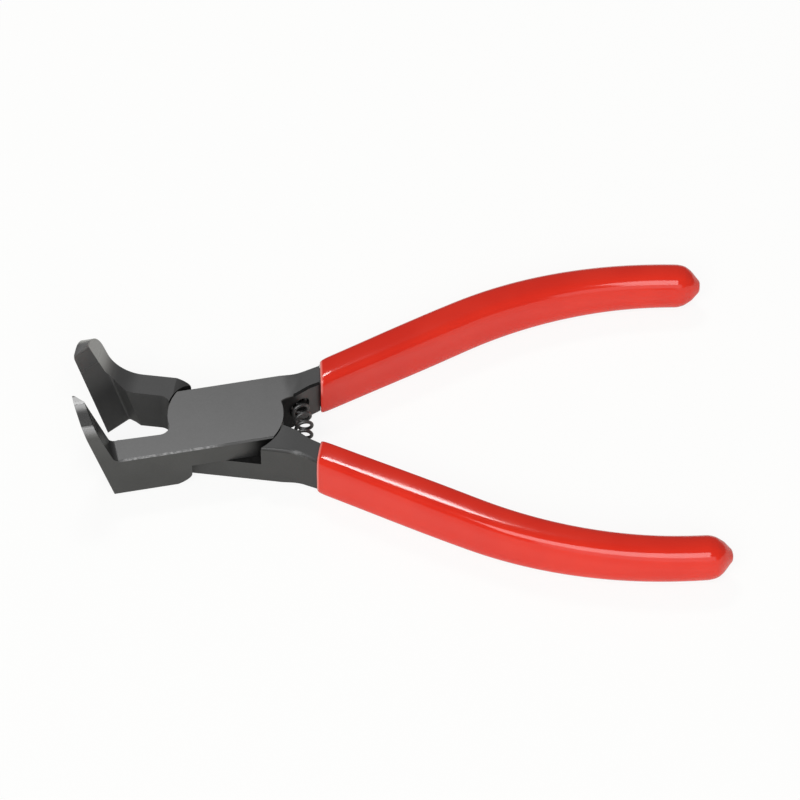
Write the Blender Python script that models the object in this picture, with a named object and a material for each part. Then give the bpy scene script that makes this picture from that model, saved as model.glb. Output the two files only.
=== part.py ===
"""Angled plastic cutter: spring-opened hand pliers whose wedge blades stand up from the jaws.

Two forged halves cross in a lap joint and turn on a flush rivet. A bent coil spring between the
tangs holds them open, and each handle core wears a dipped sleeve. Every half is drawn closed, about
the rivet axis, and turned by half the opening angle. X runs from the blades to the handles, Z is
the rivet axis, and the origin is the rivet axis on the underside of the joint.
"""

import math

import bmesh
import bpy
from mathutils import Vector

# Joint: two half-thickness plates, cut from a round boss with flat sides
JOINT_THICKNESS = 0.0110
JOINT_HALF_WIDTH = 0.0099
PLATE_RADIUS = 0.0137
SHOULDER_CLEARANCE = 0.0004
LAP_GAP = 0.0001
OPENING = math.radians(20.3)
HORN_BREAK_LENGTH = 0.0040
HORN_BREAK_DEPTH = 0.0021
POCKET_MOUTH = math.radians(36.0)

# Rivet: countersunk at both ends and ground flush
RIVET_RADIUS = 0.0035
RIVET_HEAD_RADIUS = 0.0046
RIVET_HEAD_DEPTH = 0.0014
RIVET_FIT = 0.00008

# Jaw: a neck, a blade that leans forward, and a wedge ground behind a flat front face
FRONT_DISTANCE = 0.02875
FRONT_LEAN = math.radians(16.1)
BLADE_HEIGHT = 0.0256
BLADE_TIP_THICKNESS = 0.0026
BLADE_ROOT_THICKNESS = 0.0040
HEEL_RADIUS = 0.0090
TIP_EDGE_RADIUS = 0.0012
TIP_BACK_RADIUS = 0.0072
WEDGE_ANGLE = math.radians(39.0)
WEDGE_DEPTH = 0.0053
WEDGE_ROOT_RADIUS = 0.0006
WEDGE_RUNOUT = 0.0026
WEDGE_RUNOUT_DROP = 0.0008
EDGE_GAP = 0.0001
NECK_INNER = 0.0036
NECK_CORNER_RADIUS = 0.0020

# Tang: from the joint to the grip, thinning towards the handle
TANG_INNER = 0.0016
TANG_CORNER_RADIUS = 0.0008
TANG_WIDTH = 0.0055
TANG_SAG = 1 / 3
TANG_END_THICKNESS = 0.0094
TANG_TAPER_START = 0.0150

# Handle centreline: straight from a point near the grip's rim, then one long bend
RIM_X = 0.0245
RIM_Y = 0.0089
HANDLE_SLOPE = math.radians(19.0)
HANDLE_STRAIGHT = 0.0391
HANDLE_BEND_RADIUS = 0.1000
GRIP_LENGTH = 0.1011

# Handle core sections, width in the plane of the tool by thickness, and how square each one is
CORE_RIM_SECTION = (0.0051, 0.0092)
CORE_SWELL_SECTION = (0.0060, 0.0092)
CORE_END_SECTION = (0.0062, 0.0080)
CORE_SWELL_AT = 0.0340
RIM_SQUARENESS = 5.0
END_SQUARENESS = 2.5

# Grip: a dipped sleeve with a rounded rim and a blunt conical end
GRIP_FIT = 0.0001
GRIP_WALL = 0.0013
GRIP_RIM_ROUND = 0.0004
GRIP_NOSE_LENGTH = 0.0043
GRIP_NOSE_RADIUS = 0.0010
GRIP_NOSE_ROUND = 0.0012
GRIP_SHOULDER_ROUND = 0.0042
GRIP_END_WALL = 0.0045

# Dip line of each grip: how far along the handle, and how far turned from square to it
TOP_DIP_LINE = (0.0002, math.radians(29.0))
BOTTOM_DIP_LINE = (-0.0009, math.radians(19.0))
DIP_FADE = 0.0150

# Opening spring, seated in blind holes in the tangs
SPRING_SEAT_X = 0.0190
SPRING_SEAT_DEPTH = 0.0074
SPRING_COIL_DIAMETER = 0.0043
SPRING_WIRE_DIAMETER = 0.00072
SPRING_TURNS = 7
SPRING_FIT = 0.0003
SPRING_END_FIT = 0.0001

# Fineness of the curves
ARC_STEP = math.radians(7.5)
RING_POINTS = 24
TURNED_POINTS = 48
HANDLE_RINGS = 22
CURL_POINTS = 10
OVERRUN = 0.0020
SHARP_ANGLE = math.radians(30.0)

# Finishes: colour, metallic and roughness
BLACKED_STEEL = ((0.090, 0.090, 0.088, 1.0), 0.85, 0.42)
SPRING_STEEL = ((0.050, 0.050, 0.048, 1.0), 0.90, 0.35)
RED_VINYL = ((0.680, 0.025, 0.018, 1.0), 0.0, 0.25)

MID_HEIGHT = JOINT_THICKNESS / 2
SHOULDER_RADIUS = PLATE_RADIUS + SHOULDER_CLEARANCE
HORN_X = -math.sqrt(SHOULDER_RADIUS**2 - JOINT_HALF_WIDTH**2)


def clear_scene():
    for obj in list(bpy.data.objects):
        bpy.data.objects.remove(obj, do_unlink=True)


def finish(name, look):
    """A Principled material with the colour, metallic and roughness of a finish."""
    colour, metallic, roughness = look
    material = bpy.data.materials.new(name)
    material.use_nodes = True
    shader = material.node_tree.nodes["Principled BSDF"]
    shader.inputs["Base Color"].default_value = colour
    shader.inputs["Metallic"].default_value = metallic
    shader.inputs["Roughness"].default_value = roughness
    material.diffuse_color = colour
    return material


def arc(radius, start, end, centre=(0.0, 0.0)):
    """Points along a circular arc, ends included."""
    steps = max(2, math.ceil(abs(end - start) / ARC_STEP))
    angles = [start + (end - start) * i / steps for i in range(steps + 1)]
    return [(centre[0] + radius * math.cos(a), centre[1] + radius * math.sin(a)) for a in angles]


def rounded(corners):
    """A closed outline whose corners (x, y, radius) are rounded, and whose plain points (x, y) stay."""
    outline = []
    for i, corner in enumerate(corners):
        here = Vector(corner[:2])
        if len(corner) == 2:
            outline.append(tuple(here))
            continue
        radius = corner[2]
        back = (Vector(corners[i - 1][:2]) - here).normalized()
        ahead = (Vector(corners[(i + 1) % len(corners)][:2]) - here).normalized()
        half_angle = back.angle(ahead) / 2
        centre = here + (back + ahead).normalized() * radius / math.sin(half_angle)
        start = here + back * radius / math.tan(half_angle) - centre
        end = here + ahead * radius / math.tan(half_angle) - centre
        first = math.atan2(start.y, start.x)
        turn = -start.angle_signed(end)
        outline += arc(radius, first, first + turn, centre)
    return outline


def solid(name, rings):
    """A closed solid skinned over rings of points in the same order, with flat ends."""
    mesh = bpy.data.meshes.new(name)
    shape = bmesh.new()
    loops = [[shape.verts.new(point) for point in ring] for ring in rings]
    for near, far in zip(loops, loops[1:]):
        for i in range(len(near)):
            shape.faces.new((near[i - 1], near[i], far[i], far[i - 1]))
    shape.faces.new(loops[0])
    shape.faces.new(loops[-1])
    bmesh.ops.recalc_face_normals(shape, faces=shape.faces)
    shape.to_mesh(mesh)
    shape.free()
    obj = bpy.data.objects.new(name, mesh)
    bpy.context.scene.collection.objects.link(obj)
    return obj


def prism(name, outline, low, high, place):
    """An outline carried from one height to another, where place(u, v, w) gives a point in space."""
    return solid(name, [[place(u, v, height) for u, v in outline] for height in (low, high)])


def turned(name, profile):
    """A solid of revolution about the rivet axis from (radius, height) points."""
    circle = [2 * math.pi * i / TURNED_POINTS for i in range(TURNED_POINTS)]
    rings = [[(r * math.cos(a), r * math.sin(a), z) for a in circle] for r, z in profile]
    return solid(name, rings)


def shape_with(target, tool, operation="DIFFERENCE"):
    """A Boolean on target, with the tool kept as a hidden guide on the same axis."""
    modifier = target.modifiers.new(tool.name, "BOOLEAN")
    modifier.operation = operation
    modifier.solver = "EXACT"
    modifier.object = tool
    tool.hide_render = True
    tool.display_type = "WIRE"


def front_x(height):
    """Where the flat front face lies at a height."""
    return -FRONT_DISTANCE - height * math.tan(FRONT_LEAN)


def handle_point(along):
    """Centre and direction of the handle at a distance from the grip's rim, for a handle at +Y."""
    if along <= HANDLE_STRAIGHT:
        x = RIM_X + along * math.cos(HANDLE_SLOPE)
        y = RIM_Y + along * math.sin(HANDLE_SLOPE)
        return x, y, HANDLE_SLOPE
    x, y, slope = handle_point(HANDLE_STRAIGHT)
    heading = slope - (along - HANDLE_STRAIGHT) / HANDLE_BEND_RADIUS
    x += HANDLE_BEND_RADIUS * (math.sin(slope) - math.sin(heading))
    y += HANDLE_BEND_RADIUS * (math.cos(heading) - math.cos(slope))
    return x, y, heading


def blend(share, first, last):
    """Eases from first to last."""
    ease = (1 - math.cos(math.pi * min(max(share, 0.0), 1.0))) / 2
    return first + (last - first) * ease


def core_section(along):
    """Width, thickness and squareness of the handle core at a distance from the rim."""
    if along < CORE_SWELL_AT:
        share, first, last = along / CORE_SWELL_AT, CORE_RIM_SECTION, CORE_SWELL_SECTION
    else:
        share = (along - CORE_SWELL_AT) / (GRIP_LENGTH - CORE_SWELL_AT)
        first, last = CORE_SWELL_SECTION, CORE_END_SECTION
    width, thickness = (blend(share, a, b) for a, b in zip(first, last))
    return width, thickness, blend(along / GRIP_LENGTH, RIM_SQUARENESS, END_SQUARENESS)


def handle_ring(along, allowance, side, dip_line=(0.0, 0.0), scale=1.0):
    """A superellipse section of the handle, grown by an allowance, and turned near the dip line."""
    start, turn = dip_line
    skew = math.tan(turn) * blend((along - start) / DIP_FADE, 1.0, 0.0)
    width, thickness, squareness = core_section(along)
    half_width = (width / 2 + allowance) * scale
    half_height = (thickness / 2 + allowance) * scale
    ring = []
    for i in range(RING_POINTS):
        angle = 2 * math.pi * (i + 0.5) / RING_POINTS
        across, up = math.cos(angle), math.sin(angle)
        across = half_width * math.copysign(abs(across) ** (2 / squareness), across)
        up = half_height * math.copysign(abs(up) ** (2 / squareness), up)
        x, y, heading = handle_point(along + across * skew)
        ring.append((
            x - across * math.sin(heading),
            side * (y + across * math.cos(heading)),
            MID_HEIGHT + up,
        ))
    return ring


def stations(start, end):
    """Evenly spaced distances along the handle, ends included."""
    return [start + (end - start) * i / HANDLE_RINGS for i in range(HANDLE_RINGS + 1)]


def tang_corner(across, dip_line):
    """A corner of the tang's end, just short of the dip line, for a tang at -Y."""
    start, turn = dip_line
    x, y, heading = handle_point(start - GRIP_FIT + across * math.tan(turn))
    return x - across * math.sin(heading), -y - across * math.cos(heading)


def plan_outline(dip_line):
    """The half seen from above, with its jaw at +Y and its tang at -Y."""
    flat_angle = math.asin(JOINT_HALF_WIDTH / PLATE_RADIUS)
    neck_angle = math.asin(NECK_INNER / PLATE_RADIUS)
    root_angle = math.asin(TANG_INNER / PLATE_RADIUS)
    far_front = front_x(BLADE_HEIGHT + OVERRUN) - OVERRUN
    neck_front = -FRONT_DISTANCE + WEDGE_DEPTH * math.tan(WEDGE_ANGLE)
    neck_root = (-PLATE_RADIUS * math.cos(neck_angle), NECK_INNER, NECK_CORNER_RADIUS)
    tang_root = (PLATE_RADIUS * math.cos(root_angle), -TANG_INNER, TANG_CORNER_RADIUS)
    outer_end = tang_corner(TANG_WIDTH / 2, dip_line)
    inner_end = tang_corner(-TANG_WIDTH / 2, dip_line)
    flare_x = outer_end[0] + (outer_end[1] + JOINT_HALF_WIDTH) / math.tan(HANDLE_SLOPE)
    waist_x = inner_end[0] - TANG_WIDTH / 2
    waist_y = inner_end[1] + TANG_WIDTH / 2 * math.tan(HANDLE_SLOPE)
    root_x = (tang_root[0] + waist_x) / 2
    root_y = tang_root[1] + (waist_y - tang_root[1]) * TANG_SAG
    return rounded([
        (far_front, -OVERRUN),
        (neck_front - WEDGE_DEPTH, -OVERRUN),
        (neck_front, NECK_INNER),
        neck_root,
        *arc(PLATE_RADIUS, math.pi - neck_angle / 2, math.pi + flat_angle),
        (flare_x, -JOINT_HALF_WIDTH, JOINT_HALF_WIDTH),
        outer_end,
        inner_end,
        (waist_x, waist_y, TANG_WIDTH),
        (root_x, root_y, TANG_WIDTH),
        tang_root,
        *arc(PLATE_RADIUS, 0.0, flat_angle),
        (far_front, JOINT_HALF_WIDTH),
    ])


def side_outline():
    """The half seen along Y: leaning blade, heel, flat joint and thinning tang."""
    top = BLADE_HEIGHT + OVERRUN
    heel_x = front_x(JOINT_THICKNESS) + BLADE_ROOT_THICKNESS
    tang_end = RIM_X + TANG_WIDTH
    thinning = (JOINT_THICKNESS - TANG_END_THICKNESS) / 2
    reach = (tang_end - TANG_TAPER_START) / (RIM_X - TANG_TAPER_START)
    return rounded([
        (front_x(0.0), 0.0),
        (front_x(top), top),
        (front_x(top) + BLADE_TIP_THICKNESS, top),
        (heel_x, JOINT_THICKNESS, HEEL_RADIUS),
        (TANG_TAPER_START, JOINT_THICKNESS),
        (tang_end, JOINT_THICKNESS - thinning * reach),
        (tang_end, thinning * reach),
        (TANG_TAPER_START, 0.0),
    ])


def wedge_outline():
    """What is ground away behind the cutting edge, measured from the front face and the edge."""
    relief = WEDGE_DEPTH * math.tan(WEDGE_ANGLE)
    edge = EDGE_GAP / 2
    runout = relief + WEDGE_RUNOUT
    return rounded([
        (-OVERRUN, -2 * OVERRUN),
        (-OVERRUN, edge),
        (0.0, edge),
        (relief, edge + WEDGE_DEPTH, WEDGE_ROOT_RADIUS),
        (runout - WEDGE_RUNOUT_DROP, edge + WEDGE_DEPTH - WEDGE_RUNOUT_DROP),
        (runout + WEDGE_RUNOUT, NECK_INNER - WEDGE_RUNOUT_DROP),
        (runout + WEDGE_RUNOUT, -2 * OVERRUN),
    ])


def tip_outline():
    """What is rounded off above the blade, seen from the front as (y, z)."""
    inner, outer = EDGE_GAP / 2, JOINT_HALF_WIDTH
    edge_low = BLADE_HEIGHT - TIP_EDGE_RADIUS
    back_low = BLADE_HEIGHT - TIP_BACK_RADIUS
    sky = BLADE_HEIGHT + 2 * OVERRUN
    return [
        (inner - 2 * OVERRUN, edge_low),
        *arc(TIP_EDGE_RADIUS, math.pi, math.pi / 2, (inner + TIP_EDGE_RADIUS, edge_low)),
        *arc(TIP_BACK_RADIUS, math.pi / 2, 0.0, (outer - TIP_BACK_RADIUS, back_low)),
        (outer + OVERRUN, back_low),
        (outer + OVERRUN, sky),
        (inner - 2 * OVERRUN, sky),
    ]


def pocket_outline():
    """The recess for the other half's plate, open past the shoulder's outer corner."""
    horn_angle = math.atan2(JOINT_HALF_WIDTH, HORN_X)
    return [
        *arc(SHOULDER_RADIUS, horn_angle, horn_angle + 2 * math.pi - POCKET_MOUTH),
        (HORN_X, JOINT_HALF_WIDTH + OVERRUN),
    ]


def horn_outline(plate_on_top):
    """The sloping break on the shoulder's outer corner, seen along Y on the face away from the plate."""
    start = HORN_X - HORN_BREAK_LENGTH
    end = HORN_X + OVERRUN
    depth = HORN_BREAK_DEPTH * (end - start) / HORN_BREAK_LENGTH
    face, inward = (0.0, 1) if plate_on_top else (JOINT_THICKNESS, -1)
    return [
        (start, face),
        (end, face + inward * depth),
        (end, face - inward * OVERRUN),
        (start, face - inward * OVERRUN),
    ]


def rivet_profile(allowance, overrun):
    """Half section of the rivet, or of its hole where an allowance and an overrun are given."""
    shank = RIVET_RADIUS + allowance
    head = RIVET_HEAD_RADIUS + allowance
    ends = [(head, -overrun)] if overrun else []
    tops = [(head, JOINT_THICKNESS + overrun)] if overrun else []
    return [
        *ends,
        (head, 0.0),
        (shank, RIVET_HEAD_DEPTH),
        (shank, JOINT_THICKNESS - RIVET_HEAD_DEPTH),
        (head, JOINT_THICKNESS),
        *tops,
    ]


def forged_half(name, side, plate_on_top, dip_line, axis):
    """One half: jaw, lap plate, tang and handle core. Side is the sign of Y on which the jaw lies."""

    def plan(u, v, w):
        return (u, side * v, w)

    def seen_along_y(u, v, w):
        return (u, w, v)

    def seen_along_x(u, v, w):
        return (w, side * u, v)

    def leaning(u, v, w):
        return (front_x(w) + u, side * v, w)

    sky = BLADE_HEIGHT + 3 * OVERRUN
    wide = RIM_X
    half = prism(name, plan_outline(dip_line), -OVERRUN, sky, plan)
    profile = prism(name + "_profile", side_outline(), -wide, wide, seen_along_y)
    wedge = prism(name + "_wedge", wedge_outline(), -OVERRUN, sky, leaning)
    tip = prism(name + "_tip", tip_outline(), front_x(sky) - OVERRUN, -PLATE_RADIUS, seen_along_x)
    lap = MID_HEIGHT + (LAP_GAP if plate_on_top else -LAP_GAP) / 2
    far_face = -OVERRUN if plate_on_top else JOINT_THICKNESS + OVERRUN
    pocket = prism(name + "_pocket", pocket_outline(), lap, far_face, plan)
    horn = prism(name + "_horn_break", horn_outline(plate_on_top), -wide, wide, seen_along_y)
    rivet_hole = turned(name + "_rivet_hole", rivet_profile(RIVET_FIT, OVERRUN))
    seat_radius = SPRING_COIL_DIAMETER / 2 + SPRING_FIT
    seat_circle = arc(seat_radius, 0.0, 2 * math.pi, (SPRING_SEAT_X, MID_HEIGHT))[:-1]
    seat = prism(name + "_spring_seat", seat_circle, 0.0, -side * SPRING_SEAT_DEPTH, seen_along_y)
    core_end = GRIP_LENGTH - GRIP_END_WALL - GRIP_FIT
    core = solid(
        name + "_core",
        [handle_ring(along, 0.0, -side) for along in stations(-TANG_WIDTH / 2, core_end)],
    )
    shape_with(half, profile, "INTERSECT")
    shape_with(half, core, "UNION")
    for tool in (wedge, tip, pocket, horn, rivet_hole, seat):
        shape_with(half, tool)
    for obj in (half, profile, core, wedge, tip, pocket, horn, rivet_hole, seat):
        obj.parent = axis
    half.data.materials.append(finish(name + "_steel", BLACKED_STEEL))
    return half


def grip_nose():
    """Distance from the handle's start and share of the full section for each ring of the blunt end."""
    width, thickness, _ = core_section(GRIP_LENGTH)
    full = (width + thickness) / 4 + GRIP_FIT + GRIP_WALL
    outline = rounded([
        (0.0, 0.0),
        (0.0, GRIP_NOSE_RADIUS, GRIP_NOSE_ROUND),
        (GRIP_NOSE_LENGTH, full, GRIP_SHOULDER_ROUND),
        (2 * GRIP_NOSE_LENGTH, full),
    ])
    return [(GRIP_LENGTH - back, reach / full) for back, reach in outline if reach > 0][::-1]


def dipped_grip(name, side, dip_line, axis):
    """A sleeve over the handle core at +Y or -Y: open at its dip line, closed by a blunt end."""
    outside = GRIP_FIT + GRIP_WALL
    rim = dip_line[0]
    nose = grip_nose()
    body = stations(rim + GRIP_RIM_ROUND, nose[0][0])[:-1]
    rings = [handle_ring(rim, outside - GRIP_RIM_ROUND, side, dip_line)]
    rings += [handle_ring(along, outside, side, dip_line) for along in body]
    rings += [handle_ring(along, outside, side, dip_line, scale) for along, scale in nose]
    grip = solid(name, rings)
    hollow = stations(rim - OVERRUN, GRIP_LENGTH - GRIP_END_WALL)
    bore = solid(
        name + "_bore",
        [handle_ring(along, GRIP_FIT, side, dip_line) for along in hollow],
    )
    shape_with(grip, bore)
    grip.parent = axis
    bore.parent = axis
    grip.data.materials.append(finish(name + "_vinyl", RED_VINYL))
    return grip


def spring_axis(along):
    """Point, direction and outward normal on the bent axis of the spring."""
    bend = OPENING / 2
    angle = min(max(along / SPRING_SEAT_X, -bend), bend)
    normal = Vector((math.cos(angle), math.sin(angle), 0.0))
    direction = Vector((-math.sin(angle), math.cos(angle), 0.0))
    point = normal * SPRING_SEAT_X + direction * (along - angle * SPRING_SEAT_X)
    return point + Vector((0.0, 0.0, MID_HEIGHT)), direction, normal


def spring_route():
    """Wire centreline: one helix round the bent axis, each end straight and square to its seat."""
    coil_radius = (SPRING_COIL_DIAMETER - SPRING_WIRE_DIAMETER) / 2
    half_length = OPENING / 2 * SPRING_SEAT_X + SPRING_SEAT_DEPTH - SPRING_END_FIT
    helix_end = half_length - SPRING_WIRE_DIAMETER
    count = SPRING_TURNS * CURL_POINTS
    distances = [helix_end * (2 * i / count - 1) for i in range(count + 1)]
    angles = [2 * math.pi * i / CURL_POINTS for i in range(count + 1)]
    distances = [-half_length] + distances + [half_length]
    angles = angles[:1] + angles + angles[-1:]
    route = []
    for along, angle in zip(distances, angles):
        point, _, normal = spring_axis(along)
        out = normal * math.cos(angle) + Vector((0.0, 0.0, math.sin(angle)))
        route.append(point + out * coil_radius)
    return route


def least_gap(route):
    """The least clear distance between two turns of the wire, measured on its points."""
    apart = CURL_POINTS // 2
    pairs = ((i, j) for i in range(len(route)) for j in range(i + apart, len(route)))
    return min((route[i] - route[j]).length for i, j in pairs) - SPRING_WIRE_DIAMETER


def coil_spring(name):
    route = spring_route()
    print(f"{name}: least gap between turns {least_gap(route) * 1000:.2f} mm")
    curve = bpy.data.curves.new(name, "CURVE")
    curve.dimensions = "3D"
    curve.bevel_depth = SPRING_WIRE_DIAMETER / 2
    curve.bevel_resolution = 1
    curve.use_fill_caps = True
    spline = curve.splines.new("POLY")
    spline.points.add(len(route) - 1)
    for spot, point in zip(spline.points, route):
        spot.co = (*point, 1.0)
    spring = bpy.data.objects.new(name, curve)
    bpy.context.scene.collection.objects.link(spring)
    curve.materials.append(finish(name + "_steel", SPRING_STEEL))
    return spring


def joint_axis(name, angle):
    """An empty on the rivet axis, turned by the angle that its half is opened."""
    axis = bpy.data.objects.new(name, None)
    axis.empty_display_size = JOINT_THICKNESS
    axis.rotation_euler.z = angle
    bpy.context.scene.collection.objects.link(axis)
    return axis


def build():
    clear_scene()
    top_axis = joint_axis("top_lap_axis", OPENING / 2)
    bottom_axis = joint_axis("bottom_lap_axis", -OPENING / 2)
    forged_half("top_lap_half", -1, True, TOP_DIP_LINE, top_axis)
    forged_half("bottom_lap_half", 1, False, BOTTOM_DIP_LINE, bottom_axis)
    dipped_grip("top_lap_grip", 1, TOP_DIP_LINE, top_axis)
    dipped_grip("bottom_lap_grip", -1, BOTTOM_DIP_LINE, bottom_axis)
    rivet = turned("pivot_rivet", rivet_profile(0.0, 0.0))
    rivet.parent = top_axis
    rivet.data.materials.append(finish("pivot_rivet_steel", BLACKED_STEEL))
    coil_spring("opening_spring")
    for obj in bpy.context.scene.objects:
        if obj.type == "MESH":
            obj.data.shade_smooth()
            obj.data.set_sharp_from_angle(angle=SHARP_ANGLE)


build()
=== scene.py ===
"""Looks of the angled plastic cutter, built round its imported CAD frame."""

import math

import bpy
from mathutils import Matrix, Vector


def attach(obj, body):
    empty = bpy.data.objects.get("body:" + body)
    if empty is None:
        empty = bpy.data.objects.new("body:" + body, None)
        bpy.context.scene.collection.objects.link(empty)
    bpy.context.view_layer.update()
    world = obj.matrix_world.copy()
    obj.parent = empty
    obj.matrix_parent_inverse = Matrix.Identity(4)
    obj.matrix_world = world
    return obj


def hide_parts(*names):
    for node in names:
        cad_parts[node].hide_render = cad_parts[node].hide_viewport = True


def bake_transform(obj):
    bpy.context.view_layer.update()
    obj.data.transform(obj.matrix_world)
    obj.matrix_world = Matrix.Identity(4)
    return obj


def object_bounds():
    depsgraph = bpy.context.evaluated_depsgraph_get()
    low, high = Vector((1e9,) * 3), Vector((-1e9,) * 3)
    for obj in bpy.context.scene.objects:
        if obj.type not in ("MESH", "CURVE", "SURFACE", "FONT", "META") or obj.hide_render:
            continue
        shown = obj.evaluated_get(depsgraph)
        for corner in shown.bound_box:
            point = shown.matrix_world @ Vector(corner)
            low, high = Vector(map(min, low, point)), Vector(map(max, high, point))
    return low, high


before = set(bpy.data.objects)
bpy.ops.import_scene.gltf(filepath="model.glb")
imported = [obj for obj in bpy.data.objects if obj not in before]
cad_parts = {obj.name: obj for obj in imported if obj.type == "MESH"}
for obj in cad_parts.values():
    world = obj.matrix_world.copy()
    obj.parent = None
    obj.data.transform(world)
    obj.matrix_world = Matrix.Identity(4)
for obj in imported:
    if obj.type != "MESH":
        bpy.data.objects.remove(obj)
cad_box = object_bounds()

# Camera that took the photograph, fitted on the two halves
CAMERA_PLACE = (0.01169, -0.70230, 0.74670)
CAMERA_TURN = (math.radians(43.816), math.radians(-0.206), math.radians(-2.199))
CAMERA_LENS = 193.36
CAMERA_SENSOR = 36.0
CAMERA_CLIP_START = 0.01

# Studio, with each light's direction in degrees, distance, size and power
FLOOR_SIZE = 4.0
FLOOR_DROP = 0.0002
FLOOR_WHITE = (0.92, 0.92, 0.86, 1.0)
FLOOR_SHADOW_SHARE = 0.12
FLOOR_GLOSS_SHARE = 0.25
SKY_GREY = 0.20
LIGHT_TARGET = (0.03, 0.0, 0.011)
BACK_BOX = {"azimuth": 100, "elevation": 57, "distance": 0.75, "size": (0.22, 0.10), "power": 1.3}
FRONT_BOX = {"azimuth": -99, "elevation": 47, "distance": 1.80, "size": (1.60, 1.20), "power": 27.2}
LOW_BOX = {"azimuth": -86, "elevation": 14, "distance": 1.80, "size": (2.00, 0.90), "power": 6.8}

# Forged halves, drawn closed about the rivet axis with the jaw at +Y
HALF_OPENING = math.radians(20.3 / 2)
JOINT_THICKNESS = 0.0110
JOINT_MIDDLE = JOINT_THICKNESS / 2
JOINT_HALF_WIDTH = 0.0099
PLATE_RADIUS = 0.0137
SHOULDER_RADIUS = 0.0141
HORN_X = -math.sqrt(SHOULDER_RADIUS**2 - JOINT_HALF_WIDTH**2)
HORN_BREAK = (0.0034, 0.0028)
HORN_ROUND_ANGLE = math.radians(40)
POCKET_MOUTH = math.radians(36)
LAP_GAP = 0.0001
FRONT_DISTANCE = 0.02875
FRONT_LEAN = math.radians(16.1)
BLADE_HEIGHT = 0.0256
TIP_BACK_RADIUS = 0.0072
WEDGE_ANGLE = math.radians(39)
WEDGE_ROOT_RADIUS = 0.0006
WEDGE_RUNOUT = 0.0026
EDGE_GAP = 0.0001
NECK_INNER = 0.0036
NECK_CORNER_RADIUS = 0.0028
TANG_INNER = 0.0016
TANG_CORNER_RADIUS = 0.0008
TANG_WIDTH = 0.0055
TANG_SAG = 1 / 3
TANG_THINNING = 0.0008
TANG_TAPER_START = 0.0150
RIM_X = 0.0245
RIM_Y = 0.0089
HANDLE_SLOPE = math.radians(19)
CORE_START = 0.0225
SEAT_RADIUS = 0.00265
SEAT_DEPTH = 0.0074
OVERRUN = 0.0020
ARC_STEP = math.radians(2.5)

# Blades, ground by hand and a little different: thickness at tip and root, heel radius, depth of the
# wedge, rounding of the edge's end, slope of the tip down to the front face, and where a flat on the
# round back of the tip starts and ends
TOP_BLADE = {
    "tip": 0.0023, "root": 0.0037, "heel": 0.0016, "wedge": 0.0032,
    "point": 0.0012, "slope": 0.0, "flat": (83, 38),
}
BOTTOM_BLADE = {
    "tip": 0.0028, "root": 0.0042, "heel": 0.0090, "wedge": 0.0053,
    "point": 0.0010, "slope": 0.35, "flat": (46, 44),
}

# Dip line of each handle: how far along it, and how far turned from square to it
TOP_DIP_LINE = (0.0001, math.radians(29))
BOTTOM_DIP_LINE = (-0.0010, math.radians(19))

# Broken edges round the top of each half: width, where along the tool they start, and facets
TOP_BREAK = {"width": 0.0004, "start": -0.0275, "segments": 1}
INNER_BREAK = {"width": 0.0005, "start": 0.0170, "segments": 1}
BOTTOM_BREAK = {"width": 0.0008, "start": 0.0060, "segments": 4}
BREAK_ANGLE = math.radians(50)
BREAK_LEVEL = 0.0100

# Noses of the sleeves, where the dip leaves the cone fuller and its end round
NOSE_FULLNESS = 0.22
NOSE_FULL_UP_TO = 0.0019
NOSE_LENGTH = 0.0053
NOSE_END_RADIUS = 0.0016
NOSE_END_RISE = 0.00012

# Rivet, ground flush and hidden under the finish of the top plate
RIVET_RADIUS = 0.0036
RIVET_HEAD_RADIUS = 0.0047
RIVET_HEAD_DEPTH = 0.0014
LAP_LEVEL = JOINT_MIDDLE + LAP_GAP / 2

# Clean-up of meshes
WELD = 0.000002
ROUND_ANGLE = math.radians(16)
ROUND_SIDES = 96
QUAD_FACE_ANGLE = math.radians(25)
QUAD_SHAPE_ANGLE = math.radians(60)
SLEEVE_LEVELS = 2

# Spring wire, bent round the rivet axis as the open handles hold it
SPRING_REACH = 0.0185
SPRING_HALF_LENGTH = 0.01066
SPRING_TURNS = 7
SPRING_WIRE = 0.00085
SPRING_COIL = 0.0047
SPRING_PHASE = math.radians(95)
POINTS_PER_TURN = 40
WIRE_ROUNDNESS = 4


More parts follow.
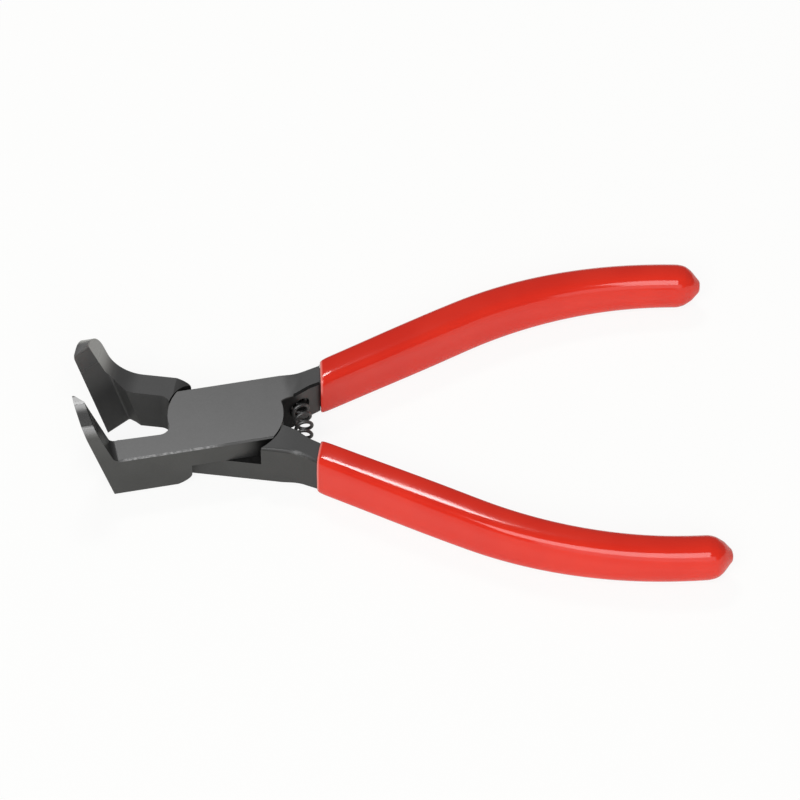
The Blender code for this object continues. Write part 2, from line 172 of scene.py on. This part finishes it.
class Wire:
    """A shader socket that takes plain arithmetic."""

    def __init__(self, tree, socket):
        self.tree = tree
        self.socket = socket

    def node(self, kind, settings, inputs, output=0):
        made = self.tree.nodes.new(kind)
        for name, value in settings.items():
            setattr(made, name, value)
        for name, value in inputs.items():
            if isinstance(value, Wire):
                self.tree.links.new(value.socket, made.inputs[name])
            else:
                made.inputs[name].default_value = value
        return Wire(self.tree, made.outputs[output])

    def math(self, operation, *values):
        return self.node("ShaderNodeMath", {"operation": operation}, dict(enumerate(values)))

    def __add__(self, other):
        return self.math("ADD", self, other)

    def __radd__(self, other):
        return self.math("ADD", other, self)

    def __sub__(self, other):
        return self.math("SUBTRACT", self, other)

    def __rsub__(self, other):
        return self.math("SUBTRACT", other, self)

    def __mul__(self, other):
        return self.math("MULTIPLY", self, other)

    def step(self, low, high):
        """0 below low, 1 above high, eased in between."""
        settings = {"interpolation_type": "SMOOTHSTEP"}
        inputs = {"Value": self, "From Min": low, "From Max": high}
        return self.node("ShaderNodeMapRange", settings, inputs)

    def band(self, rise, fall):
        """Up from 0 to 1 over one range, and down to 0 again over another."""
        return self.step(*rise) * (1.0 - self.step(*fall))

    def noise(self, scale, detail=3.0, rough=0.5):
        """Cloudy values about 0.5, with patches 1 / scale across."""
        inputs = {"Vector": self, "Scale": scale, "Detail": detail, "Roughness": rough}
        return self.node("ShaderNodeTexNoise", {}, inputs)

    def axis(self, index):
        return self.node("ShaderNodeSeparateXYZ", {}, {"Vector": self}, index)

    def between(self, first, last):
        """Colour mixed by this factor."""
        settings = {"data_type": "RGBA"}
        return self.node("ShaderNodeMix", settings, {0: self, 6: first, 7: last}, 2)

    def bump(self, strength, depth):
        inputs = {"Height": self, "Strength": strength, "Distance": depth}
        return self.node("ShaderNodeBump", {}, inputs)


def grey(value):
    return (value, value, value, 1.0)


# Black finish by height along the rivet axis: top plane, rise to the blades, bare tip, its rougher
# rim and a worn patch
TOP_PLANE = ((0.01085, 0.01095), (0.01105, 0.01120))
BLADE_RISE = (0.0100, 0.0210)
TIP_RISE = (0.0243, 0.0254)
TIP_RIM = (0.0246, 0.0252)
TIP_RIM_ROUGHER = 0.2
TIP_PATCH = ((0.0195, 0.0220), (0.0224, 0.0227))
GROUND_BLADE_ROUGH = 0.26
GRAIN_DEPTH = 0.00002

# Painted shade on the sides by the other half's shoulder and the spring, along the tool and below a
# height
SIDE_SHADE_STRETCH = ((0.0030, 0.0095), (0.0155, 0.0190))
SIDE_SHADE_TOP = (0.0104, 0.0108)

# How softly the wear of an edge starts and ends
WEAR_RISE = 0.0015
WEAR_FALL = 0.0025

# Colours
DARK_BLACK = grey(0.078)
PALE_BLACK = grey(0.093)
# Near black of the painted shade on the top half's sides
SIDE_SHADE_BLACK = grey(0.02)
PATCH_GREY = grey(0.22)
BARE_GREY = grey(0.36)
EDGE_BLACK = grey(0.06)
# Near blacks of the painted shade in the recess, the spring seat and the broken inner edge
RECESS_SHADE_DEEP = grey(0.006)
RECESS_SHADE_LIGHT = grey(0.012)
DARK_WIRE = grey(0.07)
PALE_WIRE = grey(0.11)
DEEP_RED = (0.65, 0.020, 0.008, 1.0)
FULL_RED = (0.69, 0.025, 0.010, 1.0)
# Pale pink of the painted highlight along the sleeves' rims
RIM_HIGHLIGHT_PINK = (0.95, 0.30, 0.26, 1.0)

# Painted highlight on the rim of a sleeve: how wide it is, how strong, and how softly it fades
# downwards
RIM_HIGHLIGHT_FADE = (0.0003, 0.0008)
RIM_HIGHLIGHT_STRENGTH = 0.7
RIM_HIGHLIGHT_RISE = 0.003
DIP_WAVE_DEPTH = 0.0001


def new_material(name):
    """An empty material, its Principled shader and its object coordinates."""
    material = bpy.data.materials.new(name)
    material.use_nodes = True
    tree = material.node_tree
    shader = tree.nodes["Principled BSDF"]
    place = tree.nodes.new("ShaderNodeTexCoord")
    return material, shader, Wire(tree, place.outputs["Object"])


def feed(shader, sockets):
    """Sets or links the sockets of a shader."""
    for name, value in sockets.items():
        if isinstance(value, Wire):
            value.tree.links.new(value.socket, shader.inputs[name])
        else:
            shader.inputs[name].default_value = value


def blacked_steel(name, forged, ground, thin, tip_wear_and_side_shade):
    """Black oxide: rough as forged, smoother on the ground top plane, thin on the ground blades, and
    where asked with painted shade on the sides by the other half's shoulder and the spring.
    """
    material, shader, place = new_material(name)
    height = place.axis(2)
    plane = height.band(*TOP_PLANE)
    blade = height.step(*BLADE_RISE)
    rubbed = height.step(*TIP_RISE) * tip_wear_and_side_shade
    patch = height.band(*TIP_PATCH) * tip_wear_and_side_shade
    # Painted shade: darker on the sides by the other half's shoulder and the spring, below a height,
    # where shade falls
    side_shade = place.axis(0).band(*SIDE_SHADE_STRETCH) * (1.0 - height.step(*SIDE_SHADE_TOP)) * tip_wear_and_side_shade
    grain = place.noise(scale=2600.0, detail=4.0, rough=0.6)
    cloud = place.noise(scale=140.0)
    tone = (cloud * 0.6 + grain * 0.4).step(0.25, 0.75)
    rough = forged + cloud * 0.08 + plane * (ground - forged)
    polished = rough - blade * (rough - GROUND_BLADE_ROUGH)
    black = tone.between(DARK_BLACK, PALE_BLACK)
    # The painted shade turns the black to near black
    side_shaded = side_shade.between(black, SIDE_SHADE_BLACK)
    bare = patch.between(blade.between(side_shaded, grey(thin)), PATCH_GREY)
    feed(shader, {
        "Base Color": rubbed.between(bare, BARE_GREY),
        "Metallic": 0.8,
        "Roughness": polished + height.step(*TIP_RIM) * TIP_RIM_ROUGHER,
        "Normal": (grain * (1.0 - blade)).bump(strength=0.25, depth=GRAIN_DEPTH),
    })
    return material


def worn_steel(name, start, end, wear):
    """A broken edge where the black has rubbed off in places between a start and an end."""
    material, shader, place = new_material(name)
    rise = (start - WEAR_RISE, start + WEAR_RISE)
    fall = (end - WEAR_FALL, end + WEAR_FALL)
    worn = place.axis(0).band(rise, fall)
    speckle = place.noise(scale=1300.0, detail=4.0, rough=0.65).step(0.40, 0.60)
    rubbed = (0.35 + speckle * 0.65) * worn
    feed(shader, {
        "Base Color": rubbed.between(EDGE_BLACK, grey(wear)),
        "Metallic": 0.9,
        "Roughness": 0.50 - rubbed * 0.08,
    })
    return material


def shaded_recess_steel(name):
    """Painted shade for the recess of the lap joint, the spring seat and a broken edge: near black and
    mottled.
    """
    material, shader, place = new_material(name)
    mottle = place.noise(scale=900.0)
    feed(shader, {
        "Base Color": mottle.step(0.3, 0.7).between(RECESS_SHADE_DEEP, RECESS_SHADE_LIGHT),
        "Roughness": 0.6 + mottle * 0.2,
        "Specular IOR Level": 0.1,
    })
    return material


def red_vinyl(name, side, dip_line, highlight_level):
    """Dipped sleeve: glossy, with the faint waves of the dip and a painted highlight along its thin rim
    above a level.
    """
    material, shader, place = new_material(name)
    turn = HANDLE_SLOPE - dip_line[1]
    rim = RIM_X * math.cos(turn) + RIM_Y * math.sin(turn) + dip_line[0] * math.cos(dip_line[1])
    onward = turn + HALF_OPENING
    from_rim = place.axis(0) * math.cos(onward) - place.axis(1) * (side * math.sin(onward)) - rim
    # Painted highlight: paler pink along the rim's edge, above a height, where light catches the
    # rounded rim
    rim_highlight = (1.0 - from_rim.step(*RIM_HIGHLIGHT_FADE)) * place.axis(2).step(highlight_level, highlight_level + RIM_HIGHLIGHT_RISE)
    waves = place.noise(scale=70.0, detail=2.0)
    peel = place.noise(scale=1500.0, detail=2.0)
    red = waves.step(0.3, 0.7).between(DEEP_RED, FULL_RED)
    feed(shader, {
        "Base Color": (rim_highlight * RIM_HIGHLIGHT_STRENGTH).between(red, RIM_HIGHLIGHT_PINK),
        "Roughness": 0.09 + waves * 0.05,
        "Normal": (waves + peel * 0.05).bump(strength=0.2, depth=DIP_WAVE_DEPTH),
    })
    return material


def spring_steel(name):
    """Dark drawn wire."""
    material, shader, place = new_material(name)
    drawn = place.noise(scale=3000.0)
    feed(shader, {
        "Base Color": drawn.step(0.3, 0.7).between(DARK_WIRE, PALE_WIRE),
        "Metallic": 0.7,
        "Roughness": 0.32 + drawn * 0.12,
    })
    return material


def select_only(piece):
    """Makes a piece the only one selected, and active."""
    bpy.ops.object.select_all(action="DESELECT")
    bpy.context.view_layer.objects.active = piece
    piece.select_set(True)


def copy_of(node, name):
    """A merged copy of a CAD node, its loose triangles welded where they meet."""
    piece = bpy.data.objects.new(name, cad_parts[node].data.copy())
    bpy.context.scene.collection.objects.link(piece)
    piece.data.materials.clear()
    select_only(piece)
    bpy.ops.object.mode_set(mode="EDIT")
    bpy.ops.mesh.select_all(action="SELECT")
    bpy.ops.mesh.remove_doubles(threshold=WELD)
    bpy.ops.object.mode_set(mode="OBJECT")
    return piece


def apply_modifier(piece, kind, **settings):
    """Adds a modifier and applies it at once."""
    modifier = piece.modifiers.new(kind, kind)
    for name, value in settings.items():
        setattr(modifier, name, value)
    select_only(piece)
    bpy.ops.object.modifier_apply(modifier=modifier.name)


def arc(radius, start, end, centre=(0.0, 0.0)):
    """Points along a circular arc, ends included."""
    steps = max(2, math.ceil(abs(end - start) / ARC_STEP))
    angles = [start + (end - start) * i / steps for i in range(steps + 1)]
    return [(centre[0] + radius * math.cos(a), centre[1] + radius * math.sin(a)) for a in angles]


def rounded(corners):
    """A closed outline whose corners (x, y, radius) are rounded, and whose plain points stay."""
    outline = []
    for i, corner in enumerate(corners):
        here = Vector(corner[:2])
        if len(corner) == 2:
            outline.append(tuple(here))
            continue
        radius = corner[2]
        back = (Vector(corners[i - 1][:2]) - here).normalized()
        ahead = (Vector(corners[(i + 1) % len(corners)][:2]) - here).normalized()
        half_angle = back.angle(ahead) / 2
        centre = here + (back + ahead).normalized() * radius / math.sin(half_angle)
        start = here + back * radius / math.tan(half_angle) - centre
        end = here + ahead * radius / math.tan(half_angle) - centre
        first = math.atan2(start.y, start.x)
        outline += arc(radius, first, first - start.angle_signed(end), centre)
    return outline


def prism(name, ring, travel):
    """A flat outline in space, extruded along a vector."""
    mesh = bpy.data.meshes.new(name)
    mesh.from_pydata(ring, [], [range(len(ring))])
    piece = bpy.data.objects.new(name, mesh)
    bpy.context.scene.collection.objects.link(piece)
    select_only(piece)
    bpy.ops.object.mode_set(mode="EDIT")
    bpy.ops.mesh.select_all(action="SELECT")
    bpy.ops.mesh.extrude_region_move(TRANSFORM_OT_translate={"value": travel})
    bpy.ops.mesh.select_all(action="SELECT")
    bpy.ops.mesh.normals_make_consistent(inside=False)
    bpy.ops.object.mode_set(mode="OBJECT")
    return piece


def shape_with(piece, tool, operation="DIFFERENCE", finish=None):
    """A Boolean that uses its tool up, and can leave a finish of its own."""
    tool.data.materials.append(finish or piece.data.materials[0])
    settings = {"operation": operation, "solver": "EXACT", "material_mode": "TRANSFER"}
    apply_modifier(piece, "BOOLEAN", object=tool, **settings)
    bpy.data.objects.remove(tool)


def front_x(height):
    """Where the flat front face lies at a height."""
    return -FRONT_DISTANCE - height * math.tan(FRONT_LEAN)


def tang_corner(across, dip_line):
    """A corner of the tang's end on the dip line, for a tang at -Y."""
    along = dip_line[0] + across * math.tan(dip_line[1])
    x = RIM_X + along * math.cos(HANDLE_SLOPE) - across * math.sin(HANDLE_SLOPE)
    y = RIM_Y + along * math.sin(HANDLE_SLOPE) + across * math.cos(HANDLE_SLOPE)
    return x, -y


def plan_outline(dip_line, wedge_depth):
    """The half seen from above, with its jaw at +Y and its tang at -Y."""
    flat_angle = math.asin(JOINT_HALF_WIDTH / PLATE_RADIUS)
    neck_angle = math.asin(NECK_INNER / PLATE_RADIUS)
    root_angle = math.asin(TANG_INNER / PLATE_RADIUS)
    far_front = front_x(BLADE_HEIGHT + OVERRUN) - OVERRUN
    neck_front = -FRONT_DISTANCE + wedge_depth * math.tan(WEDGE_ANGLE)
    tang_root = (PLATE_RADIUS * math.cos(root_angle), -TANG_INNER, TANG_CORNER_RADIUS)
    outer_end = tang_corner(TANG_WIDTH / 2, dip_line)
    inner_end = tang_corner(-TANG_WIDTH / 2, dip_line)
    flare_x = outer_end[0] + (outer_end[1] + JOINT_HALF_WIDTH) / math.tan(HANDLE_SLOPE)
    waist_x = inner_end[0] - TANG_WIDTH / 2
    waist_y = inner_end[1] + TANG_WIDTH / 2 * math.tan(HANDLE_SLOPE)
    root_x = (tang_root[0] + waist_x) / 2
    root_y = tang_root[1] + (waist_y - tang_root[1]) * TANG_SAG
    return rounded([
        (far_front, -OVERRUN),
        (neck_front - wedge_depth, -OVERRUN),
        (neck_front, min(NECK_INNER, wedge_depth)),
        (-PLATE_RADIUS * math.cos(neck_angle), NECK_INNER, NECK_CORNER_RADIUS),
        *arc(PLATE_RADIUS, math.pi, math.pi + flat_angle),
        (flare_x, -JOINT_HALF_WIDTH, JOINT_HALF_WIDTH),
        outer_end,
        inner_end,
        (waist_x, waist_y, TANG_WIDTH),
        (root_x, root_y, TANG_WIDTH),
        tang_root,
        *arc(PLATE_RADIUS, 0.0, flat_angle),
        (far_front, JOINT_HALF_WIDTH),
    ])


def side_outline(blade):
    """The half seen along Y: leaning blade, heel, flat joint and thinning tang."""
    top = BLADE_HEIGHT + OVERRUN
    tang_end = RIM_X + TANG_WIDTH
    thinning = TANG_THINNING * (tang_end - TANG_TAPER_START) / (RIM_X - TANG_TAPER_START)
    return rounded([
        (front_x(0.0), 0.0),
        (front_x(top), top),
        (front_x(top) + blade["tip"], top),
        (front_x(JOINT_THICKNESS) + blade["root"], JOINT_THICKNESS, blade["heel"]),
        (TANG_TAPER_START, JOINT_THICKNESS),
        (tang_end, JOINT_THICKNESS - thinning),
        (tang_end, thinning),
        (TANG_TAPER_START, 0.0),
    ])


def wedge_outline(depth):
    """What is ground away behind the cutting edge, measured from the front face and the edge."""
    relief = depth * math.tan(WEDGE_ANGLE)
    edge = EDGE_GAP / 2
    runout = relief + WEDGE_RUNOUT
    inner = min(NECK_INNER, depth)
    drop = (depth - inner) / 2
    return rounded([
        (-OVERRUN, -2 * OVERRUN),
        (-OVERRUN, edge),
        (0.0, edge),
        (relief, edge + depth, WEDGE_ROOT_RADIUS),
        (runout - drop, edge + depth - drop),
        (runout + WEDGE_RUNOUT, inner - drop - WEDGE_ROOT_RADIUS),
        (runout + WEDGE_RUNOUT, -2 * OVERRUN),
    ])


def tip_outline(point, flat):
    """What is rounded off above the blade, seen from the front as (y, z)."""
    flat_start, flat_end = (math.radians(a) for a in flat)
    inner, outer = EDGE_GAP / 2, JOINT_HALF_WIDTH
    edge_low = BLADE_HEIGHT - point
    back_low = BLADE_HEIGHT - TIP_BACK_RADIUS
    sky = BLADE_HEIGHT + 2 * OVERRUN
    return [
        (inner - 2 * OVERRUN, edge_low),
        *arc(point, math.pi, math.pi / 2, (inner + point, edge_low)),
        *arc(TIP_BACK_RADIUS, math.pi / 2, flat_start, (outer - TIP_BACK_RADIUS, back_low)),
        *arc(TIP_BACK_RADIUS, flat_end, 0.0, (outer - TIP_BACK_RADIUS, back_low)),
        (outer + OVERRUN, back_low),
        (outer + OVERRUN, sky),
        (inner - 2 * OVERRUN, sky),
    ]


def pocket_outline():
    """The recess for the other half's plate, open past the shoulder's outer corner."""
    horn_angle = math.atan2(JOINT_HALF_WIDTH, HORN_X)
    return [
        *arc(SHOULDER_RADIUS, horn_angle, horn_angle + 2 * math.pi - POCKET_MOUTH),
        (HORN_X, JOINT_HALF_WIDTH + OVERRUN),
    ]


def horn_outline(plate_on_top):
    """The rounded break on the shoulder's outer corner, on the face away from the plate."""
    length, depth = HORN_BREAK
    start, end = HORN_X - length, HORN_X + OVERRUN
    face, inward = (0.0, 1) if plate_on_top else (JOINT_THICKNESS, -1)
    across, rise = 1 - math.cos(HORN_ROUND_ANGLE), math.sin(HORN_ROUND_ANGLE)
    rounding = [
        (HORN_X - length * (1 - x) / across, face + inward * depth * (1 - y / rise))
        for x, y in arc(1.0, HORN_ROUND_ANGLE, 0.0)
    ]
    return [
        *rounding,
        (end, face + inward * depth),
        (end, face - inward * OVERRUN),
        (start, face - inward * OVERRUN),
    ]


def on_flank(place):
    return abs(place.y) > JOINT_HALF_WIDTH - WELD


def on_inner_wall(place):
    return not on_flank(place)


def break_edges(piece, where, start, width, segments, finish):
    """Breaks the sharp edges round the top of a half, on its flank or its inner wall."""
    piece.data.materials.append(finish)
    select_only(piece)
    bpy.ops.object.mode_set(mode="EDIT")
    bpy.ops.mesh.select_mode(type="EDGE")
    bpy.ops.mesh.select_all(action="DESELECT")
    bpy.ops.mesh.edges_select_sharp(sharpness=BREAK_ANGLE)
    bpy.ops.object.mode_set(mode="OBJECT")
    corners = piece.data.vertices
    for face in piece.data.polygons:
        face.select = False
    for edge in piece.data.edges:
        ends = [corners[i].co for i in edge.vertices]
        chosen = all(p.x > start and p.z > BREAK_LEVEL and where(p) for p in ends)
        edge.select = edge.select and chosen
    bpy.ops.object.mode_set(mode="EDIT")
    bpy.ops.mesh.bevel(offset=width, segments=segments, affect="EDGES", clamp_overlap=False)
    bpy.ops.mesh.select_mode(type="FACE")
    piece.active_material_index = len(piece.data.materials) - 1
    bpy.ops.object.material_slot_assign()
    bpy.ops.object.mode_set(mode="OBJECT")


def cylinder(radius, depth, place, turn=(0.0, 0.0, 0.0), end_radius=None):
    """A cylinder, or a cone with another radius at its far end."""
    end_radius = radius if end_radius is None else end_radius
    bpy.ops.mesh.primitive_cone_add(
        vertices=ROUND_SIDES, radius1=radius, radius2=end_radius,
        depth=depth, location=place, rotation=turn)
    return bpy.context.object


def finished(piece, body, slot, *materials):
    """Gives a piece its materials, and hangs it under its body's empty; the slot is not used."""
    for material in materials:
        piece.data.materials.append(material)
    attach(piece, body)


def forging(node, name, body, side, dip_line, blade, steel, recess, breaks):
    """One half, with its jaw on a side of Y. The half with its jaw at -Y has its plate on top."""
    plate_on_top = side < 0
    sky = BLADE_HEIGHT + 3 * OVERRUN
    rise = sky + OVERRUN
    wide = RIM_X
    plan = [(x, side * y, -OVERRUN) for x, y in plan_outline(dip_line, blade["wedge"])]
    piece = prism(name, plan, (0, 0, rise))
    piece.data.materials.append(steel)
    profile = prism("profile", [(x, -wide, z) for x, z in side_outline(blade)], (0, 2 * wide, 0))
    shape_with(piece, profile, "INTERSECT")
    wedge = [(front_x(-OVERRUN) + x, side * y, -OVERRUN) for x, y in wedge_outline(blade["wedge"])]
    shape_with(piece, prism("wedge", wedge, (-rise * math.tan(FRONT_LEAN), 0, rise)))
    tip_start = front_x(sky) - OVERRUN
    tip_drop = blade["slope"] * (front_x(BLADE_HEIGHT) + blade["tip"] - tip_start)
    tip = [(tip_start, side * y, z - tip_drop) for y, z in tip_outline(blade["point"], blade["flat"])]
    reach = -PLATE_RADIUS - tip_start
    shape_with(piece, prism("tip", tip, (reach, 0, reach * blade["slope"])))
    lap = JOINT_MIDDLE + (LAP_GAP if plate_on_top else -LAP_GAP) / 2
    far_face = -OVERRUN if plate_on_top else JOINT_THICKNESS + OVERRUN
    pocket = [(x, side * y, lap) for x, y in pocket_outline()]
    shape_with(piece, prism("pocket", pocket, (0, 0, far_face - lap)), finish=recess)
    horn = [(x, -wide, z) for x, z in horn_outline(plate_on_top)]
    shape_with(piece, prism("horn", horn, (0, 2 * wide, 0)))
    seat = (SPRING_REACH, -side * SEAT_DEPTH / 2, JOINT_MIDDLE)
    shape_with(piece, cylinder(SEAT_RADIUS, SEAT_DEPTH, seat, (math.pi / 2, 0, 0)), finish=recess)
    if not plate_on_top:
        shape_with(piece, cylinder(RIVET_RADIUS, 2 * JOINT_THICKNESS, (0, 0, 0)))
        sink = (0, 0, RIVET_HEAD_DEPTH / 2)
        shape_with(piece, cylinder(RIVET_HEAD_RADIUS, RIVET_HEAD_DEPTH, sink, end_radius=RIVET_RADIUS))
    for edge in breaks:
        break_edges(piece, **edge)
    piece.rotation_euler.z = -side * HALF_OPENING
    bpy.ops.object.transform_apply(location=False, rotation=True, scale=False)
    bpy.ops.object.shade_smooth_by_angle(angle=ROUND_ANGLE)
    apply_modifier(piece, "WEIGHTED_NORMAL", keep_sharp=True)
    finished(piece, body, "forged_steel")
    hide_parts(node)


def handle_core(node, name, body, steel):
    """The part of the CAD half that the sleeve hides."""
    piece = copy_of(node, name)
    bpy.ops.object.mode_set(mode="EDIT")
    bpy.ops.mesh.select_all(action="SELECT")
    cut = {"plane_co": (CORE_START, 0, 0), "plane_no": (-1, 0, 0)}
    bpy.ops.mesh.bisect(**cut, use_fill=True, clear_outer=True)
    bpy.ops.object.mode_set(mode="OBJECT")
    bpy.ops.object.shade_smooth_by_angle(angle=ROUND_ANGLE)
    finished(piece, body, "forged_steel", steel)


def fill_out_nose(piece):
    """Makes the cone at the end of a sleeve fuller, and its flat end round."""
    places = [corner.co for corner in piece.data.vertices]
    end = max(place.x for place in places)
    nose = [place for place in places if place.x > end - NOSE_LENGTH]
    middle = sum(nose, Vector()) / len(nose)
    for place in nose:
        depth = end - place.x
        outward = Vector((0.0, place.y - middle.y, place.z - middle.z))
        fading = max(0.0, (depth - NOSE_FULL_UP_TO) / (NOSE_LENGTH - NOSE_FULL_UP_TO))
        place += outward * NOSE_FULLNESS * (1 - fading) ** 2
        place.x += NOSE_END_RISE * max(0.0, 1 - (outward.length / NOSE_END_RADIUS) ** 2)


def sleeve(node, name, body, vinyl):
    """The dipped sleeve, smoothed from the CAD grip."""
    piece = copy_of(node, name)
    bpy.ops.object.mode_set(mode="EDIT")
    bpy.ops.mesh.tris_convert_to_quads(face_threshold=QUAD_FACE_ANGLE, shape_threshold=QUAD_SHAPE_ANGLE)
    bpy.ops.object.mode_set(mode="OBJECT")
    apply_modifier(piece, "SUBSURF", levels=SLEEVE_LEVELS)
    fill_out_nose(piece)
    bpy.ops.object.shade_smooth()
    finished(piece, body, "grip_vinyl", vinyl)
    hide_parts(node)


def rivet_stem(name, steel):
    """The rivet up to the lap, with its head on the underside."""
    piece = copy_of("pivot_rivet", name)
    bpy.ops.object.mode_set(mode="EDIT")
    bpy.ops.mesh.select_all(action="SELECT")
    cut = {"plane_co": (0, 0, LAP_LEVEL), "plane_no": (0, 0, 1)}
    bpy.ops.mesh.bisect(**cut, use_fill=True, clear_outer=True)
    bpy.ops.object.mode_set(mode="OBJECT")
    bpy.ops.object.shade_smooth_by_angle(angle=ROUND_ANGLE)
    finished(piece, "top_lap_arm", "rivet_steel", steel)
    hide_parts("pivot_rivet")


def spring_point(along, angle):
    """Wire centre at a distance along the bent axis and an angle round it."""
    turn = min(max(along / SPRING_REACH, -HALF_OPENING), HALF_OPENING)
    outward = Vector((math.cos(turn), math.sin(turn), 0.0))
    onward = Vector((-math.sin(turn), math.cos(turn), 0.0))
    centre = outward * SPRING_REACH + onward * (along - turn * SPRING_REACH)
    centre.z = JOINT_MIDDLE
    radius = (SPRING_COIL - SPRING_WIRE) / 2
    return centre + (outward * math.cos(angle) + Vector((0, 0, math.sin(angle)))) * radius


def wound_spring(name, steel):
    """The coil spring, bent round the rivet axis between the tangs."""
    count = SPRING_TURNS * POINTS_PER_TURN
    half = SPRING_HALF_LENGTH - SPRING_WIRE
    route = [
        spring_point(half * (2 * i / count - 1), -2 * math.pi * i / POINTS_PER_TURN - SPRING_PHASE)
        for i in range(count + 1)
    ]
    curve = bpy.data.curves.new(name, "CURVE")
    curve.dimensions = "3D"
    curve.bevel_depth = SPRING_WIRE / 2
    curve.bevel_resolution = WIRE_ROUNDNESS
    curve.use_fill_caps = True
    spline = curve.splines.new("POLY")
    spline.points.add(count)
    for spot, point in zip(spline.points, route):
        spot.co = (*point, 1.0)
    piece = bpy.data.objects.new(name, curve)
    bpy.context.scene.collection.objects.link(piece)
    select_only(piece)
    bpy.ops.object.convert(target="MESH")
    bpy.ops.object.shade_smooth()
    piece.data.materials.append(steel)
    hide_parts("opening_spring")
    start = spring_point(SPRING_HALF_LENGTH, 0.0)
    end = spring_point(-SPRING_HALF_LENGTH, 0.0)
    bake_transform(piece)


def studio():
    """A pale floor that the camera sees as white, and a grey sky."""
    floor_level = cad_box[0].z - FLOOR_DROP
    bpy.ops.mesh.primitive_plane_add(size=FLOOR_SIZE, location=(0.0, 0.0, floor_level))
    floor = bpy.context.object
    floor.name = "studio_floor"
    material = bpy.data.materials.new("white_floor")
    material.use_nodes = True
    tree = material.node_tree
    tree.nodes.remove(tree.nodes["Principled BSDF"])
    paths = tree.nodes.new("ShaderNodeLightPath").outputs
    rays = Wire(tree, paths["Is Camera Ray"]) + Wire(tree, paths["Is Glossy Ray"]) * FLOOR_GLOSS_SHARE
    matt = rays.node("ShaderNodeBsdfDiffuse", {}, {"Color": FLOOR_WHITE})
    shining = rays.node("ShaderNodeEmission", {}, {"Color": grey(1.0), "Strength": 1.0})
    bright = rays * (1 - FLOOR_SHADOW_SHARE)
    mixed = rays.node("ShaderNodeMixShader", {}, {0: bright, 1: matt, 2: shining})
    tree.links.new(mixed.socket, tree.nodes["Material Output"].inputs["Surface"])
    floor.data.materials.append(material)

    world = bpy.data.worlds.new("studio_sky")
    bpy.context.scene.world = world
    world.use_nodes = True
    tree = world.node_tree
    rays = Wire(tree, tree.nodes.new("ShaderNodeLightPath").outputs["Is Camera Ray"])
    sky = tree.nodes["Background"]
    tree.links.new(rays.between(grey(SKY_GREY), grey(1.0)).socket, sky.inputs["Color"])


def soft_light(name, azimuth, elevation, distance, size, power):
    """An area light that looks at the tool from a direction given in degrees."""
    azimuth, elevation = math.radians(azimuth), math.radians(elevation)
    away = Vector((
        math.cos(elevation) * math.cos(azimuth),
        math.cos(elevation) * math.sin(azimuth),
        math.sin(elevation),
    ))
    bpy.ops.object.light_add(type="AREA", location=Vector(LIGHT_TARGET) + away * distance)
    light = bpy.context.object
    light.name = name
    light.rotation_euler = away.to_track_quat("Z", "Y").to_euler()
    light.data.shape = "RECTANGLE"
    light.data.size, light.data.size_y = size
    light.data.energy = power


def camera():
    """The camera of the photograph."""
    bpy.ops.object.camera_add(location=CAMERA_PLACE, rotation=CAMERA_TURN)
    eye = bpy.context.object
    eye.name = "photo_camera"
    eye.data.lens = CAMERA_LENS
    eye.data.sensor_width = CAMERA_SENSOR
    eye.data.clip_start = CAMERA_CLIP_START
    bpy.context.scene.camera = eye


top_steel = blacked_steel("ground_black_steel", forged=0.41, ground=0.34, thin=0.10, tip_wear_and_side_shade=1.0)
bottom_steel = blacked_steel("forged_black_steel", forged=0.56, ground=0.56, thin=0.26, tip_wear_and_side_shade=0.0)
# Near-black painted shade for the bottom half's recess and spring seat and the top half's broken inner
# edge
recess = shaded_recess_steel("shaded_recess_steel")
top_edge = worn_steel("worn_jaw_edge", start=-0.0240, end=-0.0020, wear=0.14)
bottom_edge = worn_steel("worn_tang_edge", start=0.0158, end=0.0185, wear=0.14)
top_vinyl = red_vinyl("top_red_vinyl", side=-1, dip_line=TOP_DIP_LINE, highlight_level=0.006)
bottom_vinyl = red_vinyl("bottom_red_vinyl", side=1, dip_line=BOTTOM_DIP_LINE, highlight_level=-0.006)
top_breaks = [
    {"where": on_flank, "finish": top_edge, **TOP_BREAK},
    # The broken inner edge takes the painted shade, as a shadow line along it
    {"where": on_inner_wall, "finish": recess, **INNER_BREAK},
]
bottom_breaks = [{"where": on_flank, "finish": bottom_edge, **BOTTOM_BREAK}]
forging(
    "top_lap_half", "top_lap_forging", "top_lap_arm", side=-1, dip_line=TOP_DIP_LINE,
    blade=TOP_BLADE, steel=top_steel, recess=top_steel, breaks=top_breaks)
forging(
    "bottom_lap_half", "bottom_lap_forging", "bottom_lap_arm", side=1, dip_line=BOTTOM_DIP_LINE,
    blade=BOTTOM_BLADE, steel=bottom_steel, recess=recess, breaks=bottom_breaks)
handle_core("top_lap_half", "top_lap_core", "top_lap_arm", top_steel)
handle_core("bottom_lap_half", "bottom_lap_core", "bottom_lap_arm", bottom_steel)
sleeve("top_lap_grip", "top_lap_sleeve", "top_lap_arm", top_vinyl)
sleeve("bottom_lap_grip", "bottom_lap_sleeve", "bottom_lap_arm", bottom_vinyl)
rivet_stem("rivet_stem", bottom_steel)
wound_spring("wound_spring", spring_steel("spring_wire"))

studio()
soft_light("back_box", **BACK_BOX)
soft_light("front_box", **FRONT_BOX)
soft_light("low_box", **LOW_BOX)
camera()
bpy.context.scene.view_settings.view_transform = "Standard"
